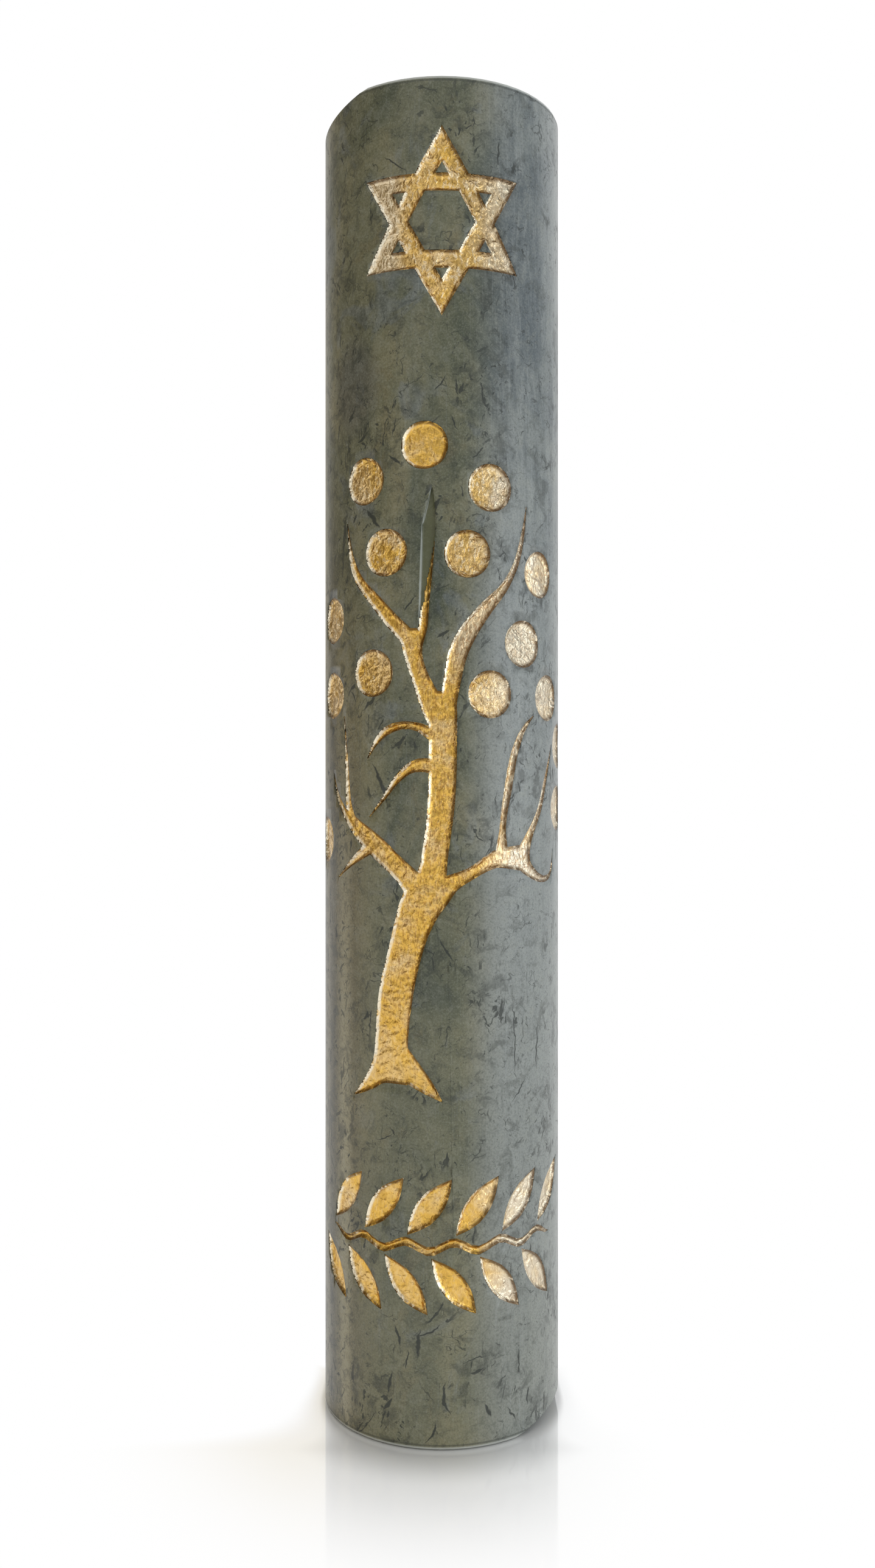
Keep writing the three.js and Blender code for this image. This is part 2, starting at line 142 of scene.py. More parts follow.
class Flow:
    """A socket's value, which can be used in sums."""

    def __init__(self, finish, socket):
        self.finish = finish
        self.socket = socket

    def maths(self, operation, *others):
        return self.finish.node("ShaderNodeMath", {"operation": operation}, self, *others)

    def __add__(self, other):
        return self.maths("ADD", other)

    def __sub__(self, other):
        return self.maths("SUBTRACT", other)

    def __mul__(self, other):
        return self.maths("MULTIPLY", other)

    def __truediv__(self, other):
        return self.maths("DIVIDE", other)

    def __pow__(self, other):
        return self.maths("POWER", other)

    __radd__ = __add__
    __rmul__ = __mul__

    def __rsub__(self, other):
        return self.finish.node("ShaderNodeMath", {"operation": "SUBTRACT"}, other, self)

    def size(self):
        return self.maths("ABSOLUTE")

    def least(self, other):
        return self.maths("MINIMUM", other)

    def most(self, other):
        return self.maths("MAXIMUM", other)

    def step(self, low, high, bottom=0.0, top=1.0):
        """From bottom at low to top at high, smoothly. Low may lie above high."""
        settings = {"interpolation_type": "SMOOTHSTEP", "clamp": True}
        return self.finish.node("ShaderNodeMapRange", settings, self, low, high, bottom, top)


class Shading:
    """A tree of nodes, and the ways to add to it."""

    def __init__(self, tree):
        self.tree = tree

    def node(self, kind, settings, *values, output=0, **named):
        made = self.tree.nodes.new(kind)
        for key, value in settings.items():
            if key == "stops":
                self.fill_ramp(made.color_ramp, value)
            else:
                setattr(made, key, value)
        for socket, value in zip(made.inputs, values):
            self.join(socket, value)
        for name, value in named.items():
            self.join(made.inputs[name.replace("_", " ")], value)
        return Flow(self, made.outputs[output])

    def join(self, socket, value):
        if isinstance(value, Flow):
            self.tree.links.new(value.socket, socket)
        elif value is not None:
            socket.default_value = value

    @staticmethod
    def fill_ramp(ramp, stops):
        while len(ramp.elements) < len(stops):
            ramp.elements.new(0.5)
        for element, (position, colour) in zip(ramp.elements, stops):
            element.position = position
            element.color = (*colour, 1.0)

    def split(self, vector):
        made = self.node("ShaderNodeSeparateXYZ", {}, vector).socket.node
        return [Flow(self, socket) for socket in made.outputs]

    def gather(self, x, y, z=0.0):
        return self.node("ShaderNodeCombineXYZ", {}, x, y, z)

    def stretch(self, vector, x, y, z):
        return self.node("ShaderNodeVectorMath", {"operation": "MULTIPLY"}, vector, (x, y, z))

    def mix(self, share, first, second, blend="MIX"):
        made = self.node("ShaderNodeMix", {"data_type": "RGBA", "blend_type": blend}).socket.node
        self.join(made.inputs["Factor"], share)
        for socket, value in zip(made.inputs[6:8], (first, second)):
            self.join(socket, (*value, 1.0) if isinstance(value, tuple) else value)
        return Flow(self, made.outputs[2])

    def cloud(self, place, scale, detail=3.0, roughness=0.5, distortion=0.0):
        return self.node(
            "ShaderNodeTexNoise", {}, Vector=place, Scale=scale, Detail=detail,
            Roughness=roughness, Distortion=distortion,
        )

    def cells(self, place, scale, feature="F1"):
        return self.node("ShaderNodeTexVoronoi", {"feature": feature}, Vector=place, Scale=scale)

    def ramp(self, share, stops):
        return self.node("ShaderNodeValToRGB", {"stops": stops}, share)

    def warp(self, place, scale, amount):
        """The place, pushed about by a cloud."""
        cloud = self.node("ShaderNodeTexNoise", {}, Vector=place, Scale=scale, output="Color")
        multiply = {"operation": "MULTIPLY_ADD"}
        push = self.node("ShaderNodeVectorMath", multiply, cloud, (amount,) * 3, (-amount / 2,) * 3)
        return self.node("ShaderNodeVectorMath", {"operation": "ADD"}, place, push)

    def lay(self, place, middle, lean, width, length):
        """A flat place measured from a middle in widths and lengths, along a line that leans."""
        return self.node(
            "ShaderNodeMapping", {"vector_type": "TEXTURE"}, place, Location=(*middle, 0.0),
            Rotation=(0.0, 0.0, -math.radians(lean)), Scale=(width, length, 1.0),
        )


class Finish(Shading):
    """A material and the nodes that make it."""

    def __init__(self, name, colour, roughness, metallic=0.0):
        self.material = bpy.data.materials.new(name)
        self.material.use_nodes = True
        super().__init__(self.material.node_tree)
        self.shader = self.tree.nodes["Principled BSDF"]
        self.set("Base Color", (*colour, 1.0))
        self.set("Roughness", roughness)
        self.set("Metallic", metallic)

    def set(self, name, value):
        self.join(self.shader.inputs[name], value)

    def place(self):
        """Object coordinates in millimetres, as a vector and its three parts."""
        metres = self.node("ShaderNodeTexCoord", {}, output="Object")
        spot = self.node("ShaderNodeVectorMath", {"operation": "SCALE"}, metres, Scale=1 / MM)
        return spot, self.split(spot)

    def bump(self, height, strength, distance):
        relief = self.node("ShaderNodeBump", {}, Height=height, Strength=strength, Distance=distance)
        self.set("Normal", relief)


def srgb(red, green, blue):
    """A colour from 0 to 255 steps, as a shader takes it."""
    shares = [step / 255 for step in (red, green, blue)]
    return tuple(s / 12.92 if s <= 0.04045 else ((s + 0.055) / 1.055) ** 2.4 for s in shares)


def around(x, y):
    """Girth in millimetres from the centre line of the front, and the distance from its axis."""
    ahead = AXIS_Y / MM - y
    girth = x.maths("ARCTAN2", ahead) * (FRONT_RADIUS / MM)
    reach_out = (x * x + ahead * ahead) ** 0.5
    return girth, reach_out


# Mesh work. No loop goes through a set of faces, edges or vertices: its order changes each run


def node_mesh(node, whole_faces=True):
    """A copy of a node's mesh, with its doubled vertices merged and its flat faces made whole."""
    work = bmesh.new()
    work.from_mesh(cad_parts[node].data)
    bmesh.ops.remove_doubles(work, verts=work.verts, dist=MERGE)
    if whole_faces:
        bmesh.ops.dissolve_limit(
            work, angle_limit=FLAT_ANGLE, verts=work.verts, edges=work.edges,
            delimit=set(), use_dissolve_boundaries=False,
        )
    return work


def put_in_order(work):
    """Sorts a mesh by place, because a bevel or a triangulation leaves its parts in another
    order each run."""
    keys = (
        (work.verts, lambda vert: tuple(vert.co)),
        (work.edges, lambda edge: sorted(tuple(vert.co) for vert in edge.verts)),
        (work.faces, lambda face: sorted(tuple(vert.co) for vert in face.verts)),
    )
    for parts, key in keys:
        ranks = {part: rank for rank, part in enumerate(sorted(parts, key=key))}
        parts.sort(key=ranks.get)
        parts.index_update()


def finish_piece(work, name, finish, body, nodes, sharp):
    """Turns the work into an object that rides on a body and stands for its nodes. Edges that
    turn by more than sharp, in degrees, stay sharp."""
    bmesh.ops.triangulate(work, faces=[face for face in work.faces if len(face.verts) > 4])
    put_in_order(work)
    mesh = bpy.data.meshes.new(name)
    work.to_mesh(mesh)
    work.free()
    mesh.shade_smooth()
    mesh.set_sharp_from_angle(angle=math.radians(sharp))
    mesh.materials.append(finish.material)
    piece = bpy.data.objects.new(name, mesh)
    bpy.context.scene.collection.objects.link(piece)
    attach(piece, body)
    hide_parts(*nodes)
    return piece


def ease_edges(work, edges, ease):
    bmesh.ops.bevel(
        work, geom=edges, affect="EDGES", offset=ease, segments=3, profile=0.5, material=-1,
        clamp_overlap=True,
    )
    put_in_order(work)


def cut_once(work, faces, point, normal):
    edges = dict.fromkeys(edge for face in faces for edge in face.edges)
    verts = dict.fromkeys(vert for face in faces for vert in face.verts)
    made = bmesh.ops.bisect_plane(
        work, geom=[*verts, *edges, *faces], dist=MERGE / 4, plane_co=point, plane_no=normal
    )
    return [item for item in made["geom"] if isinstance(item, bmesh.types.BMFace)]


def cut_by(work, faces, planes):
    """Cuts the faces by a row of planes, halving the row each time."""
    if not planes or not faces:
        return faces
    middle = len(planes) // 2
    point, normal = planes[middle]
    below, above = [], []
    for face in cut_once(work, faces, point, normal):
        side = (face.calc_center_median() - point).dot(normal)
        (below if side < 0 else above).append(face)
    return cut_by(work, below, planes[:middle]) + cut_by(work, above, planes[middle + 1:])


def spaced(low, high, spacing):
    count = math.ceil((high - low) / spacing)
    return [low + (high - low) * step / count for step in range(1, count)]


def planes_along(axis, low, high, spacing):
    """Planes square to an axis, which is 0, 1 or 2 for X, Y or Z."""
    normal = Vector(float(part == axis) for part in range(3))
    return [(normal * place, normal) for place in spaced(low, high, spacing)]


def turned_planes(low, high, spacing, axis_y=AXIS_Y):
    """Planes through an upright axis, a turn apart."""
    axis = Vector((0, axis_y, 0))
    return [(axis, Vector((math.cos(turn), math.sin(turn), 0))) for turn in spaced(low, high, spacing)]


def reach(place):
    """How far a place is from the axis of the front, and the turn at which it lies."""
    return math.hypot(place.x, place.y - AXIS_Y), math.atan2(place.x, AXIS_Y - place.y)


def push_to(vert, radius):
    """Moves a vertex straight out from the axis of the front to a radius."""
    share = radius / reach(vert.co)[0]
    vert.co.x *= share
    vert.co.y = AXIS_Y + (vert.co.y - AXIS_Y) * share


def round_out(work):
    """Moves the faceted front, with its walls and floors, onto true rounds."""
    for vert in work.verts:
        radius, turn = reach(vert.co)
        if abs(turn) > HALF_TURN or radius < CARVED_RADIUS:
            continue
        off_middle = (turn + math.pi / 2) % FLAT_TURN - FLAT_TURN / 2
        push_to(vert, radius * math.cos(off_middle) / math.cos(FLAT_TURN / 2))


def islands(faces):
    """Groups of faces that are joined by edges, in the order of the faces."""
    left, groups = set(faces), []
    for first in faces:
        if first not in left:
            continue
        left.discard(first)
        front, group = [first], []
        while front:
            face = front.pop()
            group.append(face)
            for other in (other for edge in face.edges for other in edge.link_faces):
                if other in left:
                    left.discard(other)
                    front.append(other)
        groups.append(group)
    return groups


def span(faces):
    corners = [vert.co for face in faces for vert in face.verts]
    return Vector(map(min, zip(*corners))), Vector(map(max, zip(*corners)))


def carved_reaches(face):
    """The least and the greatest reach of a face that may be part of the carving, or None."""
    low, high = span([face])
    if low.z < CARVED_END_ROOM or high.z > HEIGHT - CARVED_END_ROOM or high.y > CARVED_BACK_Y:
        return None
    reaches = [reach(vert.co)[0] for vert in face.verts]
    return min(reaches), max(reaches)


def lies_between(face, lowest, highest):
    """Whether a face is carved and its nearest and farthest corners lie at these reaches."""
    ends = carved_reaches(face)
    if not ends:
        return False
    return abs(ends[0] - lowest) < LEVEL_NEAR and abs(ends[1] - highest) < LEVEL_NEAR


def flat_place(place):
    """A place on the round front as girth and height."""
    return Vector((reach(place)[1] * FRONT_RADIUS, place.z, 0.0))


def outline_edges(work):
    """The edges where the walls of the recesses meet the front and the floors."""
    walls = [face for face in work.faces if lies_between(face, FLOOR_RADIUS, FRONT_RADIUS)]
    edges = dict.fromkeys(edge for face in walls for edge in face.edges)
    level = RECESS_DEPTH / 4
    return [
        edge for edge in edges
        if abs(reach(edge.verts[0].co)[0] - reach(edge.verts[1].co)[0]) < level
    ]


def soften_outlines(work):
    """Rounds the steps of the carved outlines."""
    for edge in outline_edges(work):
        first, second = (flat_place(vert.co) for vert in edge.verts)
        vert = edge.verts[0]
        for parts_left in range(int((first - second).length / OUTLINE_STEP) + 1, 1, -1):
            _, vert = bmesh.utils.edge_split(edge, vert, 1 / parts_left)
    beside = {}
    for edge in outline_edges(work):
        for vert in edge.verts:
            beside.setdefault(vert, []).append(edge.other_vert(vert))
    places = {vert: flat_place(vert.co) for vert in beside}
    free = []
    for vert, others in beside.items():
        if len(others) == 2:
            before, after = places[vert] - places[others[0]], places[others[1]] - places[vert]
            if min(before.length, after.length) > MERGE and before.angle(after) < OUTLINE_CORNER:
                free.append((vert, others))
    for _ in range(OUTLINE_ROUNDS):
        moved = {
            vert: places[vert] / 2 + (places[others[0]] + places[others[1]]) / 4
            for vert, others in free
        }
        places.update(moved)
    for vert, place in places.items():
        radius = min((FLOOR_RADIUS, FRONT_RADIUS), key=lambda level: abs(level - reach(vert.co)[0]))
        turn = place.x / FRONT_RADIUS
        vert.co = (radius * math.sin(turn), AXIS_Y - radius * math.cos(turn), place.y)


# The stone's finish


def strokes(finish, flat, offset, lean, length, width, rarity):
    """Scattered dark strokes of uneven shape. Flat is girth and height in millimetres."""
    laid = finish.lay(flat, (offset, 0.0), lean, width, length)
    return finish.cloud(laid, 1.0, 2.0, 0.6, 0.8).step(rarity, rarity + 0.05)


def hair_veins(finish, flat, scale, half_width, rarity):
    """Hair lines that wander, broken off where a second cloud is thin."""
    field = finish.cloud(flat, scale, 3.0, 0.5, 0.8)
    line = (field - 0.5).size().step(half_width, half_width / 4)
    return line * finish.cloud(flat, 0.9 * scale, 2.0, 0.5, 1.5).step(rarity, rarity + 0.08)


def single_fleck(finish, flat, girth, height, length, width, lean, bend):
    """One dark hair in the stone, which leans by degrees and bends by a share of its length."""
    laid = finish.lay(flat, (girth, height), lean, width / 2, length / 2)
    aside, along, _ = finish.split(laid)
    square = along * along
    bent = aside + square * (2 * bend * length / width)
    return (1 - square - bent.size()).step(-0.25, 0.5)


# Painted highlights along the left of the middle twig, where its wall faces the light: girth, height,
# length, width, lean, bend
TWIG_EDGE_HIGHLIGHTS = [(-2.36, 95.2, 12.4, 0.2, 1.6, 0.0), (-1.66, 102.9, 4.6, 0.14, 14.0, 0.0)]

# Flecks that stand out, from the foot up: girth, height, length, width, lean, bend
SINGLE_FLECKS = [
    (0.2, 5.6, 3.9, 0.45, -8, -0.16), (-1.0, 1.9, 2.8, 0.26, 28, 0.1),
    (-4.9, 12.2, 2.5, 0.35, -14, 0.05), (-2.6, 11.6, 3.4, 0.5, 4, -0.04),
    (-1.4, 13.0, 3.6, 0.22, 66, 0.06), (-3.9, 9.8, 2.1, 0.24, 6, 0.0),
    (4.0, 8.5, 1.9, 0.42, 74, 0.12), (3.7, 9.9, 3.6, 0.12, 80, -0.08),
    (9.2, 8.6, 3.0, 0.26, 3, 0.04), (10.6, 4.4, 2.1, 0.4, 8, 0.0),
    (-5.8, 6.9, 3.0, 0.36, 12, 0.06), (-6.1, 4.6, 2.0, 0.5, 40, 0.05),
    (8.2, 3.0, 2.3, 0.22, -38, 0.03), (5.2, 4.0, 2.0, 0.45, -24, 0.0),
    (-6.5, 33.8, 2.6, 0.16, 68, 0.1), (-8.9, 46.9, 1.2, 0.5, 30, 0.2),
    (-11.5, 65.7, 1.7, 0.3, 6, 0.0), (0.6, 54.5, 3.0, 0.3, -32, 0.04),
    (-6.9, 72.7, 5.4, 0.5, -24, 0.05), (2.1, 88.2, 1.9, 0.7, -58, 0.02),
    (-3.6, 92.4, 2.0, 0.22, 34, 0.02), (-9.2, 87.0, 1.9, 0.2, 42, 0.03),
    (-5.3, 108.2, 2.2, 0.34, -50, 0.04), (-7.9, 101.9, 3.0, 0.55, -42, 0.05),
    (0.0, 116.4, 2.2, 0.2, 40, 0.03), (1.4, 112.0, 2.0, 0.16, -24, 0.0),
    (6.4, 141.9, 2.9, 0.3, 10, 0.0), (5.6, 137.6, 2.4, 0.16, 36, 0.0),
    (-5.2, 140.6, 3.6, 0.2, -52, 0.02), (-3.5, 138.3, 3.4, 0.18, -22, 0.0),
    (8.4, 128.9, 3.4, 0.18, -18, 0.06), (8.6, 44.7, 8.5, 0.22, -3, 0.02),
    (9.3, 38.6, 3.6, 0.2, 40, 0.06), (12.2, 43.2, 6.0, 0.3, 4, -0.02),
]


def stone_ground(finish, spot, side, z, mottle, grain):
    """The stone's clouded colour: green-grey ahead, blue-grey to the right and brown to the left,
    each partly its own tone and partly a painted reflection, with painted highlights and shade.
    """
    soft = finish.cloud(finish.stretch(spot, 1.0, 1.0, 0.6), 0.085, 6.0, 0.6, 0.9)
    base = finish.ramp(soft, [
        (0.36, srgb(68, 76, 61)), (0.45, srgb(91, 95, 74)), (0.53, srgb(109, 110, 86)),
        (0.64, srgb(128, 124, 95)),
    ])
    patch = finish.cloud(finish.stretch(spot, 1.0, 1.0, 0.7), 0.16, 4.0, 0.6, 1.2)
    # Blue-grey to the right: partly the stone's own tone and partly a painted cool reflection of the
    # light on the right
    blue = finish.mix(soft.step(0.38, 0.62), srgb(94, 103, 108), srgb(124, 131, 131))
    # Painted reflection: soft upright pale and dark lines over the blue-grey
    reflection_streak = finish.cloud(finish.stretch(spot, 1.0, 1.0, 0.16), 1.0, 4.0, 0.65, 0.5)
    blue = finish.mix(reflection_streak.step(0.5, 0.66) * 0.6, blue, srgb(142, 148, 148))
    blue = finish.mix(reflection_streak.step(0.5, 0.34) * 0.6, blue, srgb(74, 85, 92))
    blue_share = (side.step(2.0, 8.5) * 0.9).most(patch.step(0.55, 0.68) * 0.55)
    base = finish.mix(blue_share, base, blue)
    # Browner to the left and low down, partly the stone's tone and partly a painted warm reflection;
    # the rusty stains share its colour
    warm = side.step(-6.0, -12.0) * z.step(112.0, 60.0, 0.15, 0.8) * side.step(-22.0, -18.0, 0.4, 1.0)
    rusty = patch.step(0.43, 0.32) * side.step(6.0, 0.0, 0.0, 0.35)
    base = finish.mix(warm.most(rusty), base, srgb(116, 103, 68))
    # A darker bluish patch at the upper left
    upper_left_dark_patch = 1 - ((side + 11.0) / 4.5) ** 2 - ((z - 117.0) / 7.0) ** 2
    base = finish.mix(upper_left_dark_patch.step(0.0, 0.9) * 0.5, base, srgb(64, 66, 74))
    # Painted light: lighter and warmer towards the foot, in place of the light from the bright floor
    base = finish.mix(z.step(75.0, 5.0) * 0.32, base, srgb(142, 140, 112))
    # Painted highlights: a broad cool band on the right, strongest low down, and a brighter patch at
    # the top right
    lower_right_highlight = z.step(118.0, 88.0) * side.step(1.5, 7.0) * z.step(6.0, 24.0, 0.5, 1.0)
    base = finish.mix(lower_right_highlight * 0.56, base, srgb(158, 163, 160))
    upper_right_highlight = z.step(120.0, 138.0) * side.step(11.0, 16.0)
    base = finish.mix(upper_right_highlight * 0.45, base, srgb(178, 180, 176))
    # Painted highlight and painted shade at the left: a light patch low down, a bright upright band
    # and, further out, a dark band
    lower_left_highlight = z.step(100.0, 85.0) * (side + 8.2).size().step(3.0, 0.5)
    base = finish.mix(lower_left_highlight * 0.3, base, srgb(150, 146, 114))
    left_shade_band = z.step(112.0, 90.0) * (side + 15.6).size().step(1.6, 0.3)
    base = finish.mix(left_shade_band * 0.55, base, srgb(64, 58, 36))
    left_highlight_streak = z.step(100.0, 30.0, 0.0, 0.5) * (side + 12.6).size().step(1.8, 0.3)
    base = finish.mix(left_highlight_streak, base, srgb(196, 188, 156))
    for cloud, low, high, share, tone in (
        (mottle, 0.5, 0.34, 0.4, (54, 60, 50)), (mottle, 0.5, 0.66, 0.2, (146, 148, 136)),
        (grain, 0.52, 0.36, 0.3, (52, 55, 47)), (grain, 0.5, 0.68, 0.24, (166, 168, 156)),
    ):
        base = finish.mix(cloud.step(low, high) * share, base, srgb(*tone))
    return base


def stone_flecks(finish, flat, girth, mottle):
    """How dark the stone's flecks, smudges and hair veins are, from 0 to 1."""
    bent = finish.warp(flat, 0.9, 0.8)
    crowd = finish.cloud(flat, 0.12, 3.0, 0.6).step(0.46, 0.58)
    crowd = crowd.most(girth.step(-8.0, -13.0) * 0.8)
    crowded = strokes(finish, bent, 0.0, 38.0, 3.0, 0.9, 0.63)
    crowded = crowded.most(strokes(finish, bent, 40.0, -35.0, 2.0, 0.8, 0.64))
    crowded = crowded.most(strokes(finish, bent, 90.0, 6.0, 4.5, 0.8, 0.63)) * crowd
    lines = hair_veins(finish, bent, 0.2, 0.009, 0.52).most(hair_veins(finish, bent, 0.6, 0.02, 0.55))
    smudge = crowd * mottle.step(0.53, 0.4)
    dark = (crowded * 0.85).most(lines * 0.65).most(smudge * 0.34)
    for fleck in SINGLE_FLECKS:
        dark = dark.most(single_fleck(finish, bent, *fleck) * 0.9)
    return dark


def stone_finish():
    finish = Finish("polished_grey_stone", srgb(104, 106, 88), 0.3)
    spot, (x, y, z) = finish.place()
    girth, reach_out = around(x, y)
    from_end = z.least(HEIGHT / MM - z)
    on_end = from_end.step(0.3, 0.1)
    on_back = y.step(BACK_Y / MM - 0.3, BACK_Y / MM - 0.1)
    flat = finish.gather(girth + on_back.most(on_end) * (x - girth), z + on_end * y)
    behind = y.step(0.0, 3.0)
    side = girth + behind * (x * 1.5 - girth)
    mottle = finish.cloud(spot, 0.5, 5.0, 0.7, 0.6)
    grain = finish.cloud(spot, 4.5, 3.0, 0.8)
    dark = stone_flecks(finish, flat, girth, mottle)
    scratch = finish.cloud(finish.stretch(spot, 5.0, 5.0, 0.12), 1.0, 2.0, 0.6).step(0.58, 0.7)

    base = stone_ground(finish, spot, side, z, mottle, grain)
    base = finish.mix(scratch * girth.step(2.0, 10.0, 0.08, 0.25), base, srgb(158, 164, 164))
    base = finish.mix(dark, base, srgb(38, 43, 38))
    depth = FRONT_RADIUS / MM - reach_out
    bare_recess = depth.step(0.1, 0.4) * depth.step(1.2, 0.8)
    base = finish.mix(bare_recess * 0.7, base, srgb(104, 106, 72))
    for edge in TWIG_EDGE_HIGHLIGHTS:
        base = finish.mix(single_fleck(finish, flat, *edge) * 0.75, base, srgb(178, 184, 176))
    base = finish.mix((from_end - 0.62).size().step(0.14, 0.05) * 0.5, base, srgb(52, 56, 50))
    # Painted highlight on the eased edges at the ends
    base = finish.mix(from_end.step(0.5, 0.3) * (1 - on_back) * 0.7, base, srgb(200, 203, 197))
    finish.set("Base Color", base)
    finish.set("Roughness", 0.24 + grain * 0.1 + mottle * 0.08 + dark * 0.12 + on_back * 0.2)
    height = grain * 0.3 + mottle * 0.5 - scratch * 0.1 * (1 - on_back)
    finish.bump(height, 0.4, 0.02 * MM)
    return finish


# The gold leaf's finish


def gold_finish(name, crumpled):
    """Gold leaf: yellow ahead and pale at the sides, partly as a painted highlight, with soft folds and
    finer brushing, painted shade in the valleys and painted highlights on the ridges, a brown rim of
    painted shade, partly the size's stain, and a painted highlight where the rim faces right.
    Crumpled is from 0 to 1."""
    finish = Finish(name, srgb(214, 178, 100), 0.26, 1.0)
    spot, (x, y, z) = finish.place()
    girth, reach_out = around(x, y)
    depth = FRONT_RADIUS / MM - reach_out
    normal = finish.node("ShaderNodeNewGeometry", {}, output="Normal")
    across = finish.gather((AXIS_Y / MM - y) / reach_out, x / reach_out)
    facing = finish.node("ShaderNodeVectorMath", {"operation": "DOT_PRODUCT"}, normal, across, output=1)

    drift = finish.cloud(spot, 0.3, 3.0, 0.6, 0.6)
    # Paler towards the sides, on the right branch and at the emblem's sides: partly the leaf's own
    # uneven tone and partly a painted highlight from the light on the right
    pale = (girth.step(2.5, 9.0) * 0.85).most(girth.step(-8.0, -13.0) * 0.2)
    pale = (pale + (drift - 0.5) * 1.6 + 0.26 * crumpled).most(0.0).least(1.0)
    right_branch = z.step(82.0, 88.0) * girth.step(0.3, 2.2)
    pale = pale.most(right_branch * (0.95 - crumpled))
    emblem = girth.size().step(3.0, 6.0) * z.step(118.0, 122.0)
    pale = pale.most(emblem * 0.75)
    tone = finish.mix(pale, srgb(236, 190, 92), srgb(230, 218, 194))
    tone = finish.mix(right_branch * girth.step(11.0, 7.0) * 0.3, tone, srgb(128, 106, 70))
    bent = finish.warp(spot, 1.1, 0.8)
    fold = finish.cloud(bent, 1.0, 2.0, 0.4, 0.9)
    wrinkle = finish.cloud(finish.stretch(bent, 1.0, 1.0, 0.45), 2.6, 2.0, 0.45, 0.5)
    brushing = finish.cloud(finish.stretch(spot, 5.0, 5.0, 1.8), 1.0, 2.0, 0.6, 0.4)
    deep = 1 - pale * 0.5
    # Painted shade darkens the valleys of the folds and wrinkles, and painted highlights turn the
    # wrinkles' ridges cream
    tone = finish.mix(fold.step(0.5, 0.36) * deep * (0.42 * crumpled), tone, srgb(150, 118, 62))
    tone = finish.mix(wrinkle.step(0.48, 0.36) * deep * (0.5 * crumpled), tone, srgb(118, 92, 48))
    tone = finish.mix(wrinkle.step(0.52, 0.66) * (0.5 * crumpled), tone, srgb(250, 240, 214))
    # Brown patches along the brushing, fewer near the foot and the top
    brown_brushed_patches = brushing.step(0.54, 0.38) * z.step(38.0, 56.0, 0.45, 1.0) * z.step(106.0, 101.0, 0.45, 1.0)
    tone = finish.mix(brown_brushed_patches * (0.66 - 0.45 * crumpled), tone, srgb(148, 100, 50))
    # The rim: painted shade in brown, partly the stain of the size, with a painted highlight in cream
    # where it faces right
    rim = depth.step(0.34, 0.12) * fold.step(0.74, 0.5)
    rim_tone = finish.mix(facing.step(0.2, 0.5), srgb(88, 60, 30), srgb(252, 244, 222))
    tone = finish.mix(rim * 0.85, tone, rim_tone)
    finish.set("Base Color", tone)
    finish.set("Roughness", 0.2 + brushing * 0.22)
    rough = drift.step(0.4, 0.6, 0.6, 1.0)
    relief = fold * 0.85 * rough + wrinkle * (0.15 + 0.3 * crumpled) + brushing * 0.12
    finish.bump(relief, 1.0, (0.2 + 0.4 * crumpled) * MM)
    return finish


# The finishes of the pieces at the back


def cover_finish():
    """Moulded plastic with a spark-eroded texture, rubbed smoother where fingers take it."""
    finish = Finish("moulded_plastic", srgb(56, 58, 56), 0.5)
    spot, (x, _, z) = finish.place()
    pits = finish.cells(spot, 3.2, "SMOOTH_F1")
    drift = finish.cloud(spot, 0.12, 4.0, 0.6)
    rubbed = x.size().step(5.5, 8.4) * (z - HEIGHT / MM / 2).size().step(9.0, 3.0)
    scuff = finish.cloud(finish.stretch(spot, 1.0, 1.0, 0.2), 1.4, 3.0, 0.7).step(0.6, 0.75)
    shade = finish.mix(drift.step(0.35, 0.65), srgb(50, 52, 51), srgb(62, 64, 61))
    shade = finish.mix(scuff * 0.2 + rubbed * 0.2, shade, srgb(104, 106, 102))
    finish.set("Base Color", shade)
    finish.set("Roughness", 0.56 - rubbed * 0.18 + scuff * 0.08 + pits * 0.06)
    finish.bump(pits * (1 - rubbed * 0.6) + scuff * 0.2, 0.5, 0.05 * MM)
    return finish


def foam_finish():
    finish = Finish("white_foam", srgb(234, 233, 228), 0.85)
    spot, _ = finish.place()
    cells = finish.cells(spot, 3.6)
    drift = finish.cloud(spot, 0.4, 3.0, 0.6)
    shade = finish.mix(drift.step(0.3, 0.7), srgb(226, 224, 216), srgb(240, 239, 235))
    shade = finish.mix(cells.step(0.25, 0.75) * 0.25, shade, srgb(196, 194, 186))
    finish.set("Base Color", shade)
    finish.set("Roughness", 0.8 + cells * 0.12)
    finish.bump(cells, 0.7, 0.09 * MM)
    return finish


def liner_finish():
    """Waxed amber paper with fibres and faint creases."""
    finish = Finish("waxed_paper", srgb(214, 196, 152), 0.42)
    spot, _ = finish.place()
    fibre = finish.cloud(finish.stretch(spot, 0.5, 1.0, 3.0), 1.2, 4.0, 0.7, 1.5)
    cloudy = finish.cloud(spot, 0.25, 4.0, 0.6)
    crease = finish.cells(finish.warp(spot, 0.3, 2.0), 0.16, "DISTANCE_TO_EDGE").step(0.02, 0.0)
    shade = finish.mix(cloudy.step(0.35, 0.65), srgb(204, 183, 136), srgb(224, 208, 168))
    shade = finish.mix(fibre.step(0.56, 0.7) * 0.35, shade, srgb(238, 228, 198))
    shade = finish.mix(crease * 0.4, shade, srgb(236, 226, 200))
    finish.set("Base Color", shade)
    finish.set("Roughness", 0.36 + fibre * 0.2 + crease * 0.15)
    finish.bump(fibre * 0.4 + crease * 0.5, 0.4, 0.03 * MM)
    return finish


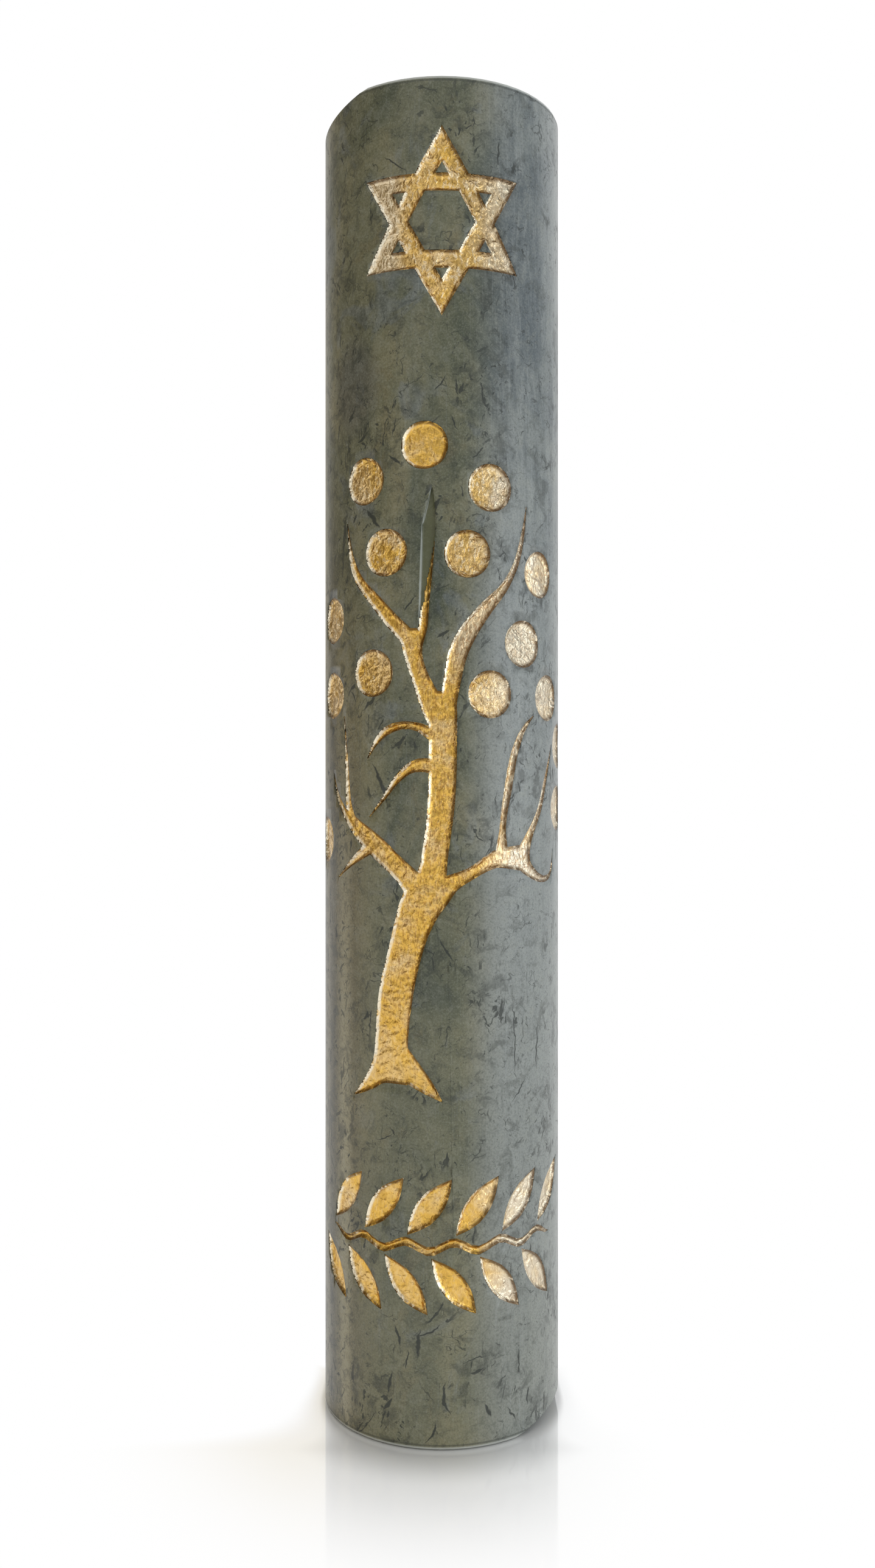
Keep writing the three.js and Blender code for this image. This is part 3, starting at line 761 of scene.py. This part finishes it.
def parchment_finish():
    """Scraped skin: cream with darker clouds, hair pores and the marks of the scraper."""
    finish = Finish("parchment", srgb(228, 212, 176), 0.62)
    spot, (_, _, z) = finish.place()
    cloudy = finish.cloud(finish.stretch(spot, 1.0, 1.0, 0.5), 0.1, 5.0, 0.6, 0.8)
    pores = finish.cells(spot, 1.7).step(0.22, 0.1)
    scraped = finish.cloud(finish.stretch(spot, 3.0, 3.0, 0.25), 1.0, 3.0, 0.6)
    middle = HEIGHT / MM / 2
    ends = (z - middle).size().step(38.0, 50.0)
    shade = finish.ramp(cloudy, [
        (0.35, srgb(206, 182, 138)), (0.5, srgb(226, 208, 168)), (0.65, srgb(236, 222, 188)),
    ])
    shade = finish.mix(pores * 0.25, shade, srgb(170, 140, 98))
    shade = finish.mix(scraped.step(0.55, 0.7) * 0.3, shade, srgb(242, 231, 204))
    shade = finish.mix(ends * 0.3, shade, srgb(196, 168, 120))
    finish.set("Base Color", shade)
    finish.set("Roughness", 0.55 + cloudy * 0.2)
    finish.bump(scraped * 0.6 - pores * 0.3, 0.5, 0.04 * MM)
    return finish


def wrap_finish():
    """Soft white paper with loose fibres."""
    finish = Finish("wrap_paper", srgb(240, 236, 226), 0.8)
    spot, _ = finish.place()
    fibre = finish.cloud(finish.stretch(spot, 1.0, 1.0, 2.2), 1.3, 5.0, 0.75, 1.8)
    shade = finish.mix(fibre.step(0.35, 0.65), srgb(228, 222, 208), srgb(244, 241, 233))
    finish.set("Base Color", shade)
    finish.set("Roughness", 0.72 + fibre * 0.15)
    finish.bump(fibre, 0.5, 0.04 * MM)
    return finish


# The stone and its leaf


def is_ground_edge(edge):
    """Whether an edge lies between a ground corner and an upright face."""
    if len(edge.link_faces) != 2:
        return False
    upright, tilted = sorted(abs(face.normal.z) for face in edge.link_faces)
    return upright < UPRIGHT_TILT and GROUND_TILT[0] < tilted < GROUND_TILT[1]


def make_stone(finish):
    work = node_mesh("stone_case")
    work.normal_update()
    ease_edges(work, [edge for edge in work.edges if is_ground_edge(edge)], END_EASE)
    round_out(work)
    soften_outlines(work)
    recesses = work.copy()
    front = [face for face in work.faces if reach(face.calc_center_median())[0] > CARVED_RADIUS]
    front = cut_by(work, front, turned_planes(-HALF_TURN, HALF_TURN, FLAT_TURN / CUTS_PER_FLAT))
    cut_by(work, front, planes_along(2, 0.0, HEIGHT, STONE_ROW))
    for vert in work.verts:
        radius, turn = reach(vert.co)
        if abs(turn) < HALF_TURN and abs(radius - FRONT_RADIUS) < ROUND_NEAR:
            push_to(vert, FRONT_RADIUS)
    piece = finish_piece(work, "carved_stone", finish, "case", ["stone_case"], SHARP_CUT)
    level = piece.modifiers.new("even_faces", "WEIGHTED_NORMAL")
    level.keep_sharp = True
    return recesses


def make_leaf(recesses, crumpled, smooth):
    """Lines each recess with a crumpled sheet, whose creases bend in the same way each run."""
    noise.seed_set(CREASE_SEED)
    middles = {
        name: sum(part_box(name), Vector()) / 2 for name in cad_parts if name.startswith("gilt_")
    }
    floors = [face for face in recesses.faces if lies_between(face, FLOOR_RADIUS, FLOOR_RADIUS)]
    groups = islands(floors)
    recesses.faces.index_update()
    numbered = [({face.index for face in group}, span(group)) for group in groups]
    for numbers, (low, high) in numbered:
        node = min(middles, key=lambda name: (middles[name] - (low + high) / 2).length)
        del middles[node]
        sheet = recesses.copy()
        away = [face for face in sheet.faces if face.index not in numbers]
        bmesh.ops.delete(sheet, geom=away, context="FACES")
        crumple_sheet(sheet, low, high, node == "gilt_tree")
        finish = smooth if node.startswith(SMOOTH_LEAF) else crumpled
        finish_piece(sheet, node.replace("gilt", "gold"), finish, "case", [node], SHARP_CUT)
    recesses.free()


def bare_twig(place):
    """Whether a place lies in the tip of the middle twig, which isn't gilded."""
    aside = place.x - TWIG_X
    ragged = GILT_TWIG_RAGGED * noise.noise(place / MM)
    gilt_top = max(GILT_TWIG_TOP + GILT_TWIG_SLANT * aside + ragged, BARE_TWIG_LOW)
    return abs(aside) < TWIG_REACH and place.z > gilt_top


def crumple_sheet(sheet, low, high, is_tree):
    turns = [reach(vert.co)[1] for vert in sheet.verts]
    faces = cut_by(sheet, sheet.faces[:], planes_along(2, low.z, high.z, LEAF_CELL))
    cut_by(sheet, faces, turned_planes(min(turns), max(turns), LEAF_CELL / FLOOR_RADIUS))
    outline = [flat_place(vert.co) for vert in sheet.verts if vert.is_boundary]
    rim = kdtree.KDTree(len(outline))
    for number, place in enumerate(outline):
        rim.insert(place, number)
    rim.balance()
    if is_tree:
        tip = [face for face in sheet.faces if bare_twig(face.calc_center_median())]
        bmesh.ops.delete(sheet, geom=tip, context="FACES")
    under = sheet.faces[:]
    made = bmesh.ops.extrude_face_region(sheet, geom=under, use_keep_orig=True)
    outer = {item for item in made["geom"] if isinstance(item, bmesh.types.BMVert)}
    bmesh.ops.reverse_faces(sheet, faces=under)
    for vert in sheet.verts:
        place = flat_place(vert.co)
        inward = min(rim.find(place)[2] / LEAF_SLOPE, 1.0)
        rise = LEAF_CRUMPLE * min(2 * inward, 1.0) * crumple(place / MM)
        level = FRONT_RADIUS - LEAF_RIM_DROP - LEAF_DISH * inward + rise
        push_to(vert, level if vert in outer else level - LEAF_THICKNESS)


def crumple(place):
    """Height of the crumpled leaf, from 0 to about 1, at a place in millimetres."""
    bent = place + CREASE_BEND * noise.noise_vector(place * CREASE_BEND_SCALE)
    height = 0.0
    for scale, share in CREASES:
        near, far = noise.voronoi(bent * scale)[0][:2]
        height += share * min((far - near) * CREASE_WIDTH, 1.0)
    swell = 0.5 + 0.5 * noise.noise(place * SWELL_SCALE)
    return height + SWELL_SHARE * swell


# The back


def make_cover(finish):
    """The channel's cover, with its outer edge eased."""
    work = node_mesh("back_cover")
    rim = [
        edge for edge in work.edges
        if edge.calc_face_angle(0.0) > COVER_RIM_ANGLE
        and all(vert.co.y > BACK_Y - MERGE for vert in edge.verts)
    ]
    ease_edges(work, rim, COVER_EASE)
    finish_piece(work, "channel_cover", finish, "cover", ["back_cover"], SHARP_PLAIN)


def cut_in_cells(work, node, cell):
    """Cuts a node's copy across X, Y and Z into cells."""
    low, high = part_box(node)
    faces = work.faces[:]
    for axis in range(3):
        faces = cut_by(work, faces, planes_along(axis, low[axis], high[axis], cell))


def make_foam(word, finish):
    """A pad of closed-cell foam, cut with a blade: flat faces and a pitted edge."""
    node = f"pad_{word}"
    work = node_mesh(node)
    cut_in_cells(work, node, FOAM_CELL)
    work.normal_update()
    for vert in work.verts:
        pit = 0.5 + 0.5 * noise.noise(vert.co / MM * FOAM_PIT_SCALE)
        side = 1.0 - abs(vert.normal.y) * FOAM_FLAT_SHARE
        vert.co -= vert.normal * FOAM_PIT * (FOAM_PIT_LEAST + pit) * side
    piece = finish_piece(work, f"foam_{word}", finish, "case", [node], SHARP_CUT)


def make_liner(word, finish):
    """A pad's liner: thin paper with a slight wave, whose tab droops beside the pad."""
    node = f"liner_{word}"
    work = node_mesh(node)
    cut_in_cells(work, node, LINER_CELL)
    pad_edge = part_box(f"pad_{word}")[1].x
    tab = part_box(node)[1].x - pad_edge
    for vert in work.verts:
        place = Vector((vert.co.x, 0.0, vert.co.z)) / MM
        wave = 0.5 + 0.5 * noise.noise(place * LINER_WAVE_SCALE)
        droop = max((vert.co.x - pad_edge) / tab, 0.0) ** 2
        vert.co.y -= LINER_WAVE * wave + TAB_DROOP * droop
    finish_piece(
        work, f"peel_paper_{word}", finish, f"{word}_liner", [node], SHARP_PLAIN
    )


def make_round(work, axis_y, chord, low, high, row):
    """Cuts a faceted upright roll finer, and moves its facets onto true rounds."""
    faces = cut_by(work, work.faces[:], turned_planes(0.0, math.pi, chord / CUTS_PER_CHORD, axis_y))
    cut_by(work, faces, planes_along(2, low, high, row))
    for vert in work.verts:
        turn = math.atan2(vert.co.y - axis_y, vert.co.x)
        share = math.cos(turn % chord - chord / 2) / math.cos(chord / 2)
        vert.co.x *= share
        vert.co.y = axis_y + (vert.co.y - axis_y) * share


def make_scroll(finish):
    """The rolled parchment, with a slight wave in the sheet and uneven cut ends."""
    low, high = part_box("scroll_wrap")
    axis_y = (low.y + high.y) / 2
    low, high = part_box("scroll")
    work = node_mesh("scroll", whole_faces=False)
    make_round(work, axis_y, SCROLL_CHORD, low.z, high.z, SCROLL_ROW)
    for vert in work.verts:
        place = vert.co / MM
        share = 1 - SHEET_WAVE_SHARE * (0.5 + 0.5 * noise.noise(place * SHEET_WAVE_SCALE))
        vert.co.x *= share
        vert.co.y = axis_y + (vert.co.y - axis_y) * share
        cut = DECKLE * (0.5 + 0.5 * noise.noise(place * DECKLE_SCALE))
        vert.co.z = min(max(vert.co.z, low.z + cut), high.z - cut)
    finish_piece(work, "rolled_parchment", finish, "roll", ["scroll"], SHARP_PLAIN)


def make_wrap(finish):
    low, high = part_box("scroll_wrap")
    work = node_mesh("scroll_wrap", whole_faces=False)
    make_round(work, (low.y + high.y) / 2, WRAP_CHORD, low.z, high.z, WRAP_ROW)
    middle = (low.z + high.z) / 2
    for vert in work.verts:
        place = Vector((vert.co.x, vert.co.y, 0.0)) / MM
        cut = WRAP_DECKLE * (1 + noise.noise(place * WRAP_DECKLE_SCALE))
        vert.co.z = middle + (vert.co.z - middle) * (1 - cut / (high.z - middle))
    finish_piece(work, "paper_strip", finish, "roll", ["scroll_wrap"], SHARP_PLAIN)


def make_back():
    foam, liner = foam_finish(), liner_finish()
    make_cover(cover_finish())
    for word in ("upper", "lower"):
        make_foam(word, foam)
        make_liner(word, liner)
    make_scroll(parchment_finish())
    make_wrap(wrap_finish())


# The stage: a white floor that mirrors the case faintly near its foot. Its shading fades into
# white away from the case, and sooner behind it than in front

WHITE = (1.0, 1.0, 1.0)
FLOOR_REACH = 4.0
FLOOR_SHADE = 0.74
FLOOR_ROUGHNESS = 0.6
FLOOR_GLOW = 0.42
CONTACT_REACH = 8 * MM
SHADOW_REACH = (4 * MM, 32 * MM)
BACK_FADE = 14.0
MIRROR_BLUR = 0.06
MIRROR_NEAR = 0.3
MIRROR_FAR = 0.1
MIRROR_REACH = (2 * MM, 30 * MM)


def seen_rays(shading):
    """Whether a ray comes from the camera, and whether it comes from a glossy surface."""
    path = shading.node("ShaderNodeLightPath", {}).socket.node
    return [Flow(shading, path.outputs[name]) for name in ("Is Camera Ray", "Is Glossy Ray")]


def make_stage():
    finish = Finish("white_floor", (FLOOR_SHADE,) * 3, FLOOR_ROUGHNESS)
    x, y, _ = finish.split(finish.node("ShaderNodeTexCoord", {}, output="Object"))
    ahead = (AXIS_Y - y).most(0.0)
    gap = ((x * x + ahead * ahead) ** 0.5 - FRONT_RADIUS).most(y - BACK_Y)
    gap = gap * y.step(STONE_LOW.y, BACK_Y, 1.0, BACK_FADE)
    camera, glossy = seen_rays(finish)
    seen = camera.most(glossy)
    # The glow is held back near the foot, which paints a darker contact shadow there
    glow = finish.node(
        "ShaderNodeEmission", {}, (*WHITE, 1.0), seen * gap.step(0.0, CONTACT_REACH) * FLOOR_GLOW
    )
    lit = finish.node("ShaderNodeAddShader", {}, Flow(finish, finish.shader.outputs[0]), glow)
    mirror = finish.node("ShaderNodeBsdfGlossy", {}, (*WHITE, 1.0), MIRROR_BLUR)
    share = gap.step(*MIRROR_REACH, MIRROR_NEAR, MIRROR_FAR)
    polished = finish.node("ShaderNodeMixShader", {}, share, lit, mirror)
    white = finish.node("ShaderNodeEmission", {}, (*WHITE, 1.0), 1.0)
    surface = finish.node("ShaderNodeMixShader", {}, seen * gap.step(*SHADOW_REACH), polished, white)
    finish.join(finish.tree.nodes["Material Output"].inputs["Surface"], surface)

    work = bmesh.new()
    bmesh.ops.create_grid(work, x_segments=1, y_segments=1, size=FLOOR_REACH)
    mesh = bpy.data.meshes.new("floor")
    work.to_mesh(mesh)
    work.free()
    mesh.materials.append(finish.material)
    plane = bpy.data.objects.new("floor", mesh)
    bpy.context.scene.collection.objects.link(plane)


# The room's light by direction: dimmer round the camera, dim and warm on the left, cool on the
# right, and behind the case, as polished pieces see it, white with a warm left half
ROOM_CAMERA = (0.45, 0.45, 0.45)
ROOM_AHEAD = (0.95, 0.95, 0.95)
ROOM_LEFT = (0.34, 0.29, 0.2)
ROOM_RIGHT = (0.72, 0.76, 0.8)
WALL_LEFT = (0.78, 0.66, 0.42)
CAMERA_EDGE = (-0.82, -0.94)
SIDE_EDGE = (0.3, 0.85)
BEHIND_EDGE = (0.78, 0.9)
BEHIND_SLANT = 0.25
WALL_LEFT_EDGE = (0.0, -0.12)


def make_world():
    world = bpy.data.worlds.new("studio")
    bpy.context.scene.world = world
    world.use_nodes = True
    sky = Shading(world.node_tree)
    x, y, _ = sky.split(sky.node("ShaderNodeTexCoord", {}, output="Generated"))
    near, far = SIDE_EDGE
    room = sky.mix(y.step(*CAMERA_EDGE), ROOM_AHEAD, ROOM_CAMERA)
    room = sky.mix(x.step(-near, -far), room, ROOM_LEFT)
    room = sky.mix(x.step(near, far), room, ROOM_RIGHT)
    camera, glossy = seen_rays(sky)
    behind = (y + x * BEHIND_SLANT).step(*BEHIND_EDGE)
    wall = sky.mix(x.step(*WALL_LEFT_EDGE), WHITE, WALL_LEFT)
    light = sky.mix(glossy * behind, room, wall)
    light = sky.mix(camera, light, WHITE)
    sky.join(sky.tree.nodes["Background"].inputs["Color"], light)


# The window on the right: an upright soft lamp, at a turn from the front towards the right
WINDOW_TURN = math.radians(70)
WINDOW_DISTANCE = 0.6
WINDOW_HEIGHT = 0.12
WINDOW_WIDE, WINDOW_TALL = 0.55, 0.24
WINDOW_POWER = 0.7
WINDOW_COLOUR = (0.92, 0.97, 1.0)


def make_window():
    data = bpy.data.lights.new("right_window", "AREA")
    data.shape = "RECTANGLE"
    data.size, data.size_y = WINDOW_WIDE, WINDOW_TALL
    data.energy = WINDOW_POWER
    data.color = WINDOW_COLOUR
    lamp = bpy.data.objects.new("right_window", data)
    aside, ahead = math.sin(WINDOW_TURN), math.cos(WINDOW_TURN)
    lamp.location = (WINDOW_DISTANCE * aside, AXIS_Y - WINDOW_DISTANCE * ahead, WINDOW_HEIGHT)
    lamp.rotation_euler = (HALF_TURN, 0.0, WINDOW_TURN)
    lamp.visible_camera = False
    bpy.context.scene.collection.objects.link(lamp)


# The photograph's view: the camera stands level with the case's middle
PHOTO_WIDTH, PHOTO_HEIGHT = 1438, 2576
SENSOR = 36.0
FOCAL_PIXELS = 2303.0
VIEW_RADII = 12.1
SIGHT_X, SIGHT_Y = 726.0, 1253.0
NEAREST = 0.01


def make_camera():
    data = bpy.data.cameras.new("camera")
    data.sensor_width = SENSOR
    data.lens = FOCAL_PIXELS / PHOTO_HEIGHT * SENSOR
    data.shift_x = (PHOTO_WIDTH / 2 - SIGHT_X) / PHOTO_HEIGHT
    data.shift_y = (SIGHT_Y - PHOTO_HEIGHT / 2) / PHOTO_HEIGHT
    data.clip_start = NEAREST
    camera = bpy.data.objects.new("camera", data)
    camera.location = (0.0, AXIS_Y - VIEW_RADII * FRONT_RADIUS, HEIGHT / 2)
    camera.rotation_euler = (HALF_TURN, 0.0, 0.0)
    bpy.context.scene.collection.objects.link(camera)
    bpy.context.scene.camera = camera


make_camera()
recess_mesh = make_stone(stone_finish())
make_leaf(recess_mesh, gold_finish("crumpled_gold", 0.8), gold_finish("smoothed_gold", 0.25))
make_back()
make_stage()
make_world()
make_window()
bpy.context.scene.view_settings.view_transform = "Standard"
